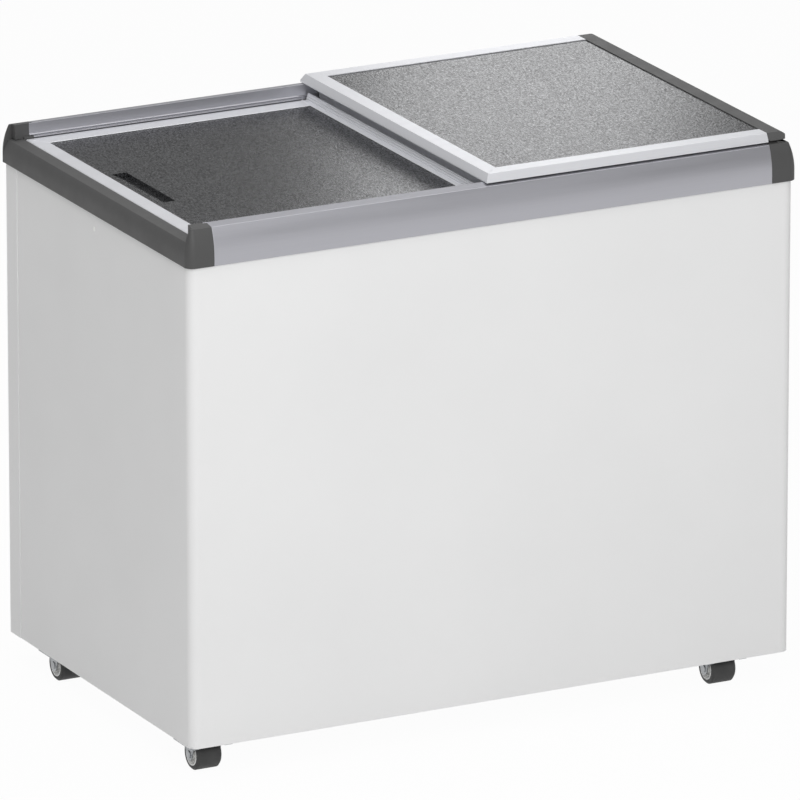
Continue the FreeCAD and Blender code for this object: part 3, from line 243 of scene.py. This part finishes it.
def all_finishes():
    """Every material by its name, which is the CAD part's slot name too."""
    materials = (
        white_paint(),
        extruded_aluminium("rail_aluminium", linear(178, 178, 184), 0.38, 0.80),
        extruded_aluminium("frame_aluminium", linear(226, 227, 231), 0.38, 0.38),
        embossed_aluminium(),
        plastic("dark_plastic", linear(56), 0.50),
        plastic("grey_plastic", linear(84), 0.52),
        plastic("cap_plastic", linear(79), 0.46),
        plastic("white_plastic", linear(244, 244, 242), 0.35, specular=0.5, grain=0.02),
        plastic("frame_plastic", linear(205), 0.45),
        foam(),
        painted("liner_metal", linear(218, 220, 222), 0.38),
        galvanised(),
        rubber(),
        painted("black_paint", linear(38), 0.35),
        copper(),
        motor_metal(),
    )
    return {material.name: material for material in materials}


# ------------------------------------------------------------ the part
def soften(node):
    """Rounds a CAD node's sharp edges a little, as the real profile's or moulding's are."""
    weld = node.modifiers.new("weld", "WELD")
    weld.merge_threshold = SOFT_WELD
    flats = node.modifiers.new("whole_faces", "DECIMATE")
    flats.decimate_type = "DISSOLVE"
    flats.angle_limit = FLAT_ANGLE
    bevel = node.modifiers.new("soft_edges", "BEVEL")
    bevel.width = SOFT_EDGE
    bevel.segments = SOFT_SEGMENTS
    bevel.limit_method = "ANGLE"
    bevel.angle_limit = SOFT_ANGLE
    node.modifiers.new("flat_faces", "WEIGHTED_NORMAL")


def dress(frame, finishes):
    """Gives each CAD node the finish of its material slot, and rails, frames and caps soft edges."""
    for part in frame["record"]["subparts"]:
        node = frame["nodes"][part["node"]]
        for slot in node.material_slots:
            slot.material = finishes[part["material_slot"]]
        if part["material_slot"] in SOFT_SLOTS:
            soften(node)


# ------------------------------------------------------------ floor, light and camera
def seen_by_camera(nodes, links):
    """A mask that is 1 for the camera's own rays, and for those it gets by a mirror or glass."""
    path = nodes.new("ShaderNodeLightPath")
    mask = path.outputs["Is Camera Ray"]
    for ray in ("Is Glossy Ray", "Is Transmission Ray"):
        either = nodes.new("ShaderNodeMath")
        either.operation = "MAXIMUM"
        links.new(mask, either.inputs[0])
        links.new(path.outputs[ray], either.inputs[1])
        mask = either.outputs[0]
    return mask


def floor_material():
    """Pale diffuse floor, mixed with plain white where it is seen."""
    material = bpy.data.materials.new("studio_floor")
    material.use_nodes = True
    nodes = material.node_tree.nodes
    links = material.node_tree.links
    pale = nodes["Principled BSDF"]
    pale.inputs["Base Color"].default_value = (FLOOR_WHITE, FLOOR_WHITE, FLOOR_WHITE, 1)
    pale.inputs["Roughness"].default_value = FLOOR_ROUGHNESS
    white = nodes.new("ShaderNodeEmission")
    white.inputs["Color"].default_value = (1, 1, 1, 1)
    white.inputs["Strength"].default_value = 1.0
    share = nodes.new("ShaderNodeMath")
    share.operation = "MULTIPLY"
    share.inputs[1].default_value = FLOOR_GLOW
    links.new(seen_by_camera(nodes, links), share.inputs[0])
    mix = nodes.new("ShaderNodeMixShader")
    links.new(share.outputs[0], mix.inputs["Fac"])
    links.new(pale.outputs["BSDF"], mix.inputs[1])
    links.new(white.outputs["Emission"], mix.inputs[2])
    links.new(mix.outputs["Shader"], nodes["Material Output"].inputs["Surface"])
    return material


def white_floor():
    """Wide floor under the casters, with the object's shadow left in it."""
    bpy.ops.mesh.primitive_plane_add(size=FLOOR_SIZE, location=(0, 0, -FLOOR_DROP))
    floor = bpy.context.object
    floor.name = "studio_floor"
    floor.data.materials.append(floor_material())


def soft_box(name, place, aim, width, height, watts):
    """Rectangular lamp at a place, turned to what it is aimed at."""
    lamp = bpy.data.lights.new(name, "AREA")
    lamp.shape = "RECTANGLE"
    lamp.size = width
    lamp.size_y = height
    lamp.energy = watts
    holder = bpy.data.objects.new(name, lamp)
    bpy.context.collection.objects.link(holder)
    holder.location = place
    holder.rotation_euler = (Vector(aim) - Vector(place)).to_track_quat("-Z", "Y").to_euler()


def studio_light():
    """Even grey surroundings and three lamps."""
    world = bpy.data.worlds.new("studio")
    bpy.context.scene.world = world
    world.use_nodes = True
    sky = world.node_tree.nodes["Background"]
    sky.inputs["Color"].default_value = (SKY_GREY, SKY_GREY, SKY_GREY, 1)
    sky.inputs["Strength"].default_value = 1.0
    soft_box("key", **KEY_LIGHT)
    soft_box("top", **TOP_LIGHT)
    soft_box("back", **BACK_LIGHT)


def camera():
    """Long lens, far off at the turn and rise of the view."""
    level = math.cos(VIEW_RISE)
    towards_eye = Vector((math.sin(VIEW_TURN) * level, -math.cos(VIEW_TURN) * level,
                          math.sin(VIEW_RISE)))
    lens = bpy.data.cameras.new("view")
    lens.lens = LENS_MM
    lens.sensor_width = SENSOR_MM
    lens.clip_end = VIEW_REACH
    eye = bpy.data.objects.new("view", lens)
    bpy.context.collection.objects.link(eye)
    eye.location = LOOK_AT + towards_eye * VIEW_DISTANCE
    eye.rotation_euler = (-towards_eye).to_track_quat("-Z", "Y").to_euler()
    bpy.context.scene.camera = eye


finishes = all_finishes()
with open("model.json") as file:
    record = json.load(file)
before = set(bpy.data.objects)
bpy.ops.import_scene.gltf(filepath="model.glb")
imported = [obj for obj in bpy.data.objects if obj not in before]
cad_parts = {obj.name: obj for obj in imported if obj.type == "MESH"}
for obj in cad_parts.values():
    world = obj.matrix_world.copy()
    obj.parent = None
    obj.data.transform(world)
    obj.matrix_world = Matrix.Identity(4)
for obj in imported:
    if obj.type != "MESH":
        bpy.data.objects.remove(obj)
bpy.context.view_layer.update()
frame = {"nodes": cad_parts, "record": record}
dress(frame, finishes)
white_floor()
studio_light()
camera()
bpy.context.scene.view_settings.view_transform = "Standard"
